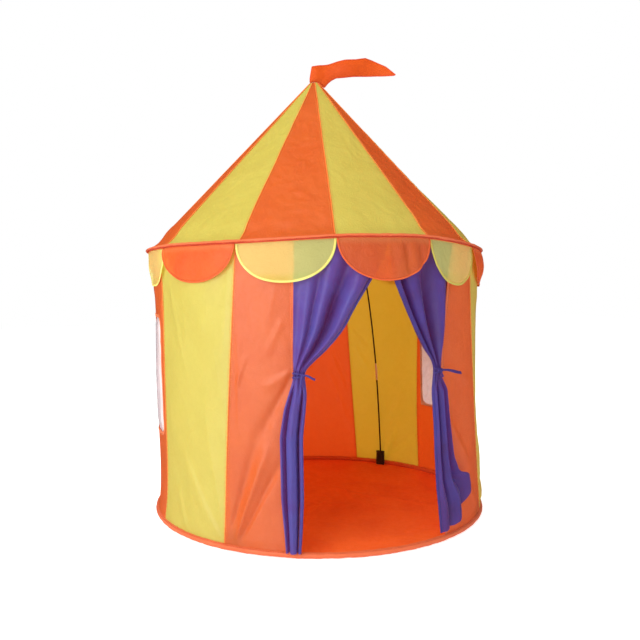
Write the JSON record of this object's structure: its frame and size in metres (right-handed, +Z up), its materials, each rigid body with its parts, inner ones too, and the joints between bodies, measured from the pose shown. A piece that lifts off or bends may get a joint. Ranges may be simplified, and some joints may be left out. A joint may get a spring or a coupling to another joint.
{
  "type": "children's play tent in the shape of a circus big top",
  "caption": "Round pop-up play tent shaped like a circus big top, with striped panels, scalloped eaves, tied curtains at the doorway, clear windows and a pennant.",
  "frame": {"origin": "centre of the tent's outline on the ground", "axes": "+Z up along the tent's axis, -Y out of the doorway, +X to the right of somebody who stands in front of the doorway and looks in"},
  "size_m": [0.9748, 0.9701, 1.3],
  "materials": {
    "yellow_cloth": "thin slightly glossy woven polyester",
    "orange_cloth": "thin slightly glossy woven polyester",
    "floor_cloth": "coated woven polyester",
    "purple_cloth": "thin satin polyester",
    "clear_film": "clear soft film",
    "black_rod": "smooth black fibreglass rod",
    "black_webbing": "matt black webbing",
    "grey_plastic": "moulded plastic"
  },
  "bodies": {
    "root": {"base_hem": "orange_cloth", "eave_hem": "orange_cloth", "floor_sheet": "floor_cloth", "roof_gore_front": "yellow_cloth", "roof_gore_front_right_1": "orange_cloth", "wall_panel_front_right_1": "orange_cloth", "roof_gore_front_right_2": "yellow_cloth", "wall_panel_front_right_2": "yellow_cloth", "roof_gore_right": "orange_cloth", "wall_panel_right": "orange_cloth", "roof_gore_back_right_1": "yellow_cloth", "wall_panel_back_right_1": "yellow_cloth", "roof_gore_back_right_2": "orange_cloth", "wall_panel_back_right_2": "orange_cloth", "roof_gore_back": "yellow_cloth", "wall_panel_back": "yellow_cloth", "roof_gore_back_left_2": "orange_cloth", "wall_panel_back_left_2": "orange_cloth", "roof_gore_back_left_1": "yellow_cloth", "wall_panel_back_left_1": "yellow_cloth", "roof_gore_left": "orange_cloth", "wall_panel_left": "orange_cloth", "roof_gore_front_left_2": "yellow_cloth", "wall_panel_front_left_2": "yellow_cloth", "roof_gore_front_left_1": "orange_cloth", "wall_panel_front_left_1": "orange_cloth", "window_film_left": "clear_film", "curtain_left": "purple_cloth", "curtain_tie_left": "purple_cloth", "window_film_right": "clear_film", "curtain_right": "purple_cloth", "curtain_tie_right": "purple_cloth", "scallops_orange": "orange_cloth", "scallops_yellow": "yellow_cloth", "pole_front_left": "black_rod", "foot_pocket_front_left": "black_webbing", "pole_front_right": "black_rod", "foot_pocket_front_right": "black_webbing", "pole_back_right": "black_rod", "foot_pocket_back_right": "black_webbing", "pole_back_left": "black_rod", "foot_pocket_back_left": "black_webbing", "apex_hub": "grey_plastic", "pennant": "orange_cloth"}
  },
  "joints": []
}
